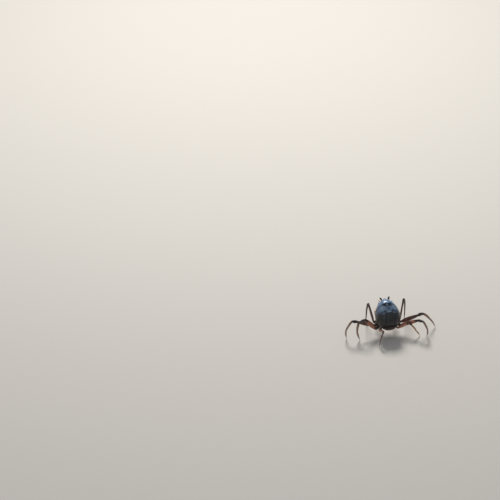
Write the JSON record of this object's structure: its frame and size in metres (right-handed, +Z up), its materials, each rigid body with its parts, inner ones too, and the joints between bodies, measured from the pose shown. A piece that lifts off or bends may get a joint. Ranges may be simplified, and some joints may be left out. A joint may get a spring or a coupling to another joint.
{
  "type": "soldier crab",
  "caption": "Life-size standing crab: an egg-shaped blue shell tilted front-up on arched jointed walking legs, with slim claws folded before its face and short black eyes.",
  "frame": {"origin": "on the ground, under the middle of the whole crab's box", "axes": "+X to the crab's left, along the spread of its legs; -Y the way it faces; +Z up"},
  "size_m": [0.0762, 0.038, 0.0296],
  "materials": {
    "shell_blue": "wet satin shell, sky blue in front to slate behind",
    "belly_pale": "smooth pale shell",
    "face_cream": "satin cream plates",
    "tail_brown": "satin brown plates",
    "stalk_grey": "satin",
    "eye_black": "polished black",
    "feeler_tan": "satin",
    "joint_maroon": "wet satin",
    "thigh_orange": "wet satin",
    "shin_tan": "wet satin",
    "foot_olive": "satin, darker to the tip",
    "claw_tan": "wet satin"
  },
  "bodies": {
    "root": {"abdomen": "tail_brown", "antenna_left": "feeler_tan", "antenna_right": "feeler_tan", "carapace": "shell_blue", "claw_left_arm": "claw_tan", "claw_left_finger": "claw_tan", "claw_left_hand": "claw_tan", "claw_left_wrist": "claw_tan", "claw_right_arm": "claw_tan", "claw_right_finger": "claw_tan", "claw_right_hand": "claw_tan", "claw_right_wrist": "claw_tan", "eye_left": "eye_black", "eye_right": "eye_black", "eyestalk_left": "stalk_grey", "eyestalk_right": "stalk_grey", "leg1_left_carpus": "joint_maroon", "leg1_left_dactylus": "foot_olive", "leg1_left_hip": "joint_maroon", "leg1_left_merus": "thigh_orange", "leg1_left_propodus": "shin_tan", "leg1_right_carpus": "joint_maroon", "leg1_right_dactylus": "foot_olive", "leg1_right_hip": "joint_maroon", "leg1_right_merus": "thigh_orange", "leg1_right_propodus": "shin_tan", "leg2_left_carpus": "joint_maroon", "leg2_left_dactylus": "foot_olive", "leg2_left_hip": "joint_maroon", "leg2_left_merus": "thigh_orange", "leg2_left_propodus": "shin_tan", "leg2_right_carpus": "joint_maroon", "leg2_right_dactylus": "foot_olive", "leg2_right_hip": "joint_maroon", "leg2_right_merus": "thigh_orange", "leg2_right_propodus": "shin_tan", "leg3_left_carpus": "joint_maroon", "leg3_left_dactylus": "foot_olive", "leg3_left_hip": "joint_maroon", "leg3_left_merus": "thigh_orange", "leg3_left_propodus": "shin_tan", "leg3_right_carpus": "joint_maroon", "leg3_right_dactylus": "foot_olive", "leg3_right_hip": "joint_maroon", "leg3_right_merus": "thigh_orange", "leg3_right_propodus": "shin_tan", "leg4_left_carpus": "joint_maroon", "leg4_left_dactylus": "foot_olive", "leg4_left_hip": "joint_maroon", "leg4_left_merus": "thigh_orange", "leg4_left_propodus": "shin_tan", "leg4_right_carpus": "joint_maroon", "leg4_right_dactylus": "foot_olive", "leg4_right_hip": "joint_maroon", "leg4_right_merus": "thigh_orange", "leg4_right_propodus": "shin_tan", "maxilliped_left": "face_cream", "maxilliped_right": "face_cream", "sternum": "belly_pale"}
  },
  "joints": []
}
